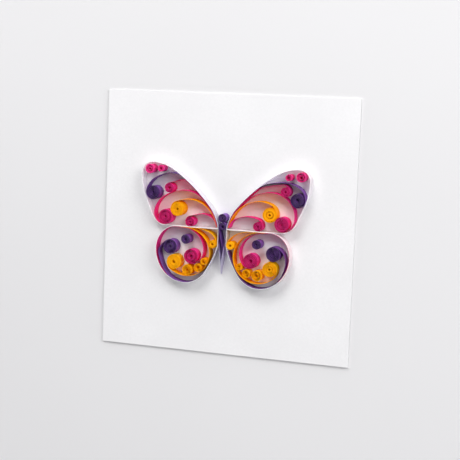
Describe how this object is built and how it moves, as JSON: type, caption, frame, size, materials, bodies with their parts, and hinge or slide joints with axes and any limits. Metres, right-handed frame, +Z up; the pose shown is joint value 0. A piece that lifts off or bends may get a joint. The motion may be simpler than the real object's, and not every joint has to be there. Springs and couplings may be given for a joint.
{
  "type": "quilled paper butterfly",
  "caption": "Butterfly quilled from standing paper strips, with outlined wings full of wound scrolls and coils, glued to a flat white backing card.",
  "frame": {"origin": "centre of the card's back face, under the butterfly's thorax", "axes": "+Z up out of the card, the way the strips stand; +Y towards the head; +X towards the right wings as seen from the front"},
  "size_m": [0.23, 0.23, 0.0114],
  "materials": {
    "white_card": "matte",
    "white_paper": "matte",
    "purple_paper": "matte",
    "magenta_paper": "matte",
    "pink_paper": "matte",
    "orange_paper": "matte",
    "yellow_paper": "matte"
  },
  "bodies": {
    "root": {"backing_card": "white_card", "body_loop": "purple_paper", "thorax_coil": "purple_paper", "head_coil": "purple_paper", "left_forewing_outline": "white_paper", "left_hindwing_outline": "white_paper", "left_forewing_purple_scroll": "purple_paper", "left_forewing_small_magenta_scroll": "magenta_paper", "left_forewing_big_magenta_scroll": "magenta_paper", "left_forewing_orange_scroll": "orange_paper", "left_forewing_pink_scroll": "magenta_paper", "left_forewing_tip_coil_large": "pink_paper", "left_forewing_tip_coil_small": "pink_paper", "left_hindwing_purple_scroll": "purple_paper", "left_hindwing_magenta_scroll": "magenta_paper", "left_hindwing_yellow_scroll": "yellow_paper", "left_hindwing_small_yellow_scroll": "yellow_paper", "left_hindwing_purple_coil": "purple_paper", "left_hindwing_yellow_coil_1": "yellow_paper", "left_hindwing_yellow_coil_2": "yellow_paper", "left_hindwing_yellow_coil_3": "yellow_paper", "right_forewing_outline": "white_paper", "right_hindwing_outline": "white_paper", "right_forewing_purple_scroll": "purple_paper", "right_forewing_small_magenta_scroll": "magenta_paper", "right_forewing_big_magenta_scroll": "magenta_paper", "right_forewing_orange_scroll": "orange_paper", "right_forewing_pink_scroll": "magenta_paper", "right_forewing_tip_coil_large": "pink_paper", "right_forewing_tip_coil_small": "pink_paper", "right_hindwing_purple_scroll": "purple_paper", "right_hindwing_magenta_scroll": "magenta_paper", "right_hindwing_yellow_scroll": "yellow_paper", "right_hindwing_small_yellow_scroll": "yellow_paper", "right_hindwing_purple_coil": "purple_paper", "right_hindwing_yellow_coil_1": "yellow_paper", "right_hindwing_yellow_coil_2": "yellow_paper", "right_hindwing_yellow_coil_3": "yellow_paper"}
  },
  "joints": []
}
